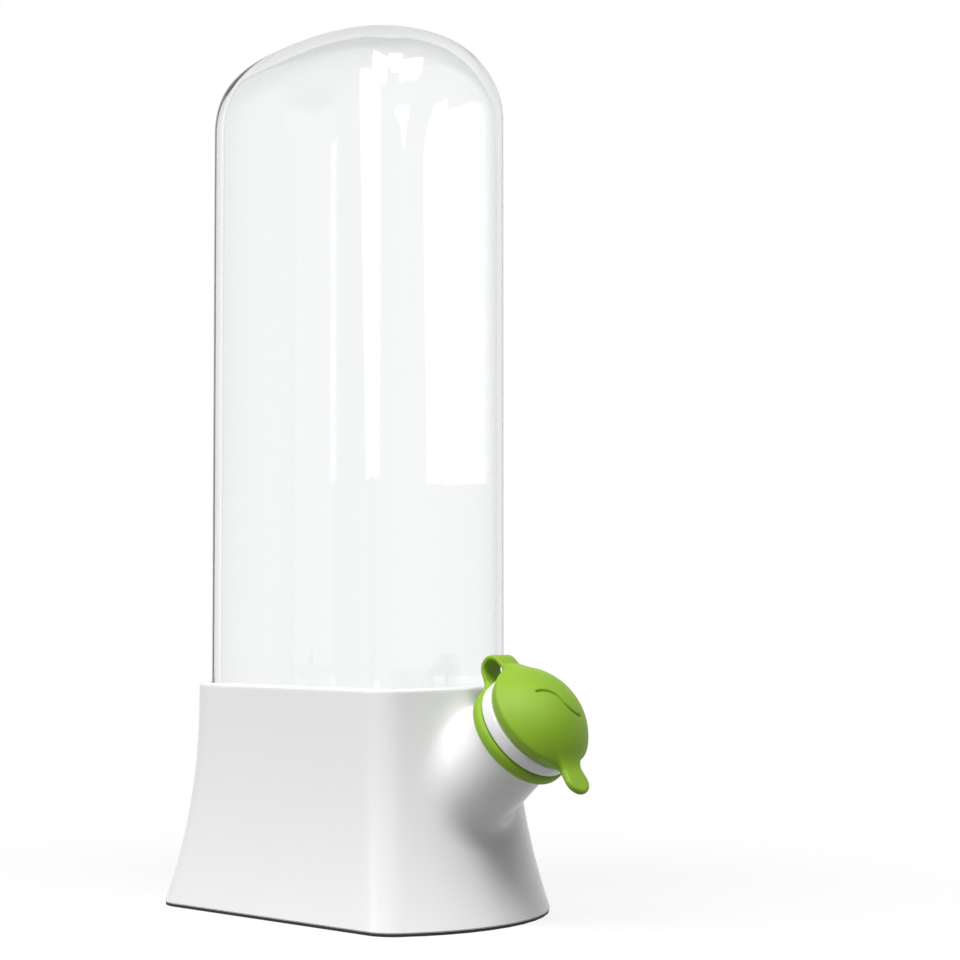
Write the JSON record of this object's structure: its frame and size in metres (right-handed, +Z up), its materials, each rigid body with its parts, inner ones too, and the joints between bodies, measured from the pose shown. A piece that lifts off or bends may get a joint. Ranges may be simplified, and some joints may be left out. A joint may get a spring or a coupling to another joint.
{
  "type": "herb keeper",
  "caption": "Countertop herb keeper: flared oblong base with a water space and a stoppered filling spout, under a tall clear lift-off cover.",
  "frame": {"origin": "centre of the resting face, under the middle of the base", "axes": "+Z up, +X towards the filling spout along the base's long side, +Y across the base"},
  "size_m": [0.1482, 0.073, 0.265],
  "materials": {
    "white_plastic": "glossy moulded",
    "clear_silicone": "translucent matte",
    "screw_steel": "plain zinc",
    "dark_rubber": "matte",
    "green_silicone": "soft matte",
    "clear_cover": "clear polished"
  },
  "bodies": {
    "base": {"base_shell": "white_plastic", "bottom_plate": "white_plastic", "bottom_gasket": "clear_silicone", "plate_screws": "screw_steel", "foot_pad": "dark_rubber", "spout_lip": "white_plastic", "lip_ring": "dark_rubber", "cap_collar": "green_silicone", "cap_strap": "green_silicone", "cover_seal": "clear_silicone"},
    "stopper": {"spout_cap": "green_silicone"},
    "cover": {"clear_cover": "clear_cover"}
  },
  "joints": [
    {"name": "cover_lift", "type": "slide", "parent": "base", "child": "cover", "axis": [0, 0, 1], "range_m": [0, 0.215]},
    {"name": "cap_flip", "type": "hinge", "parent": "base", "child": "stopper", "pos_m": [0.0569, 0, 0.07228], "axis": [0, -1, 0], "range_deg": [0, 115], "deforming": ["cap_strap"]}
  ]
}
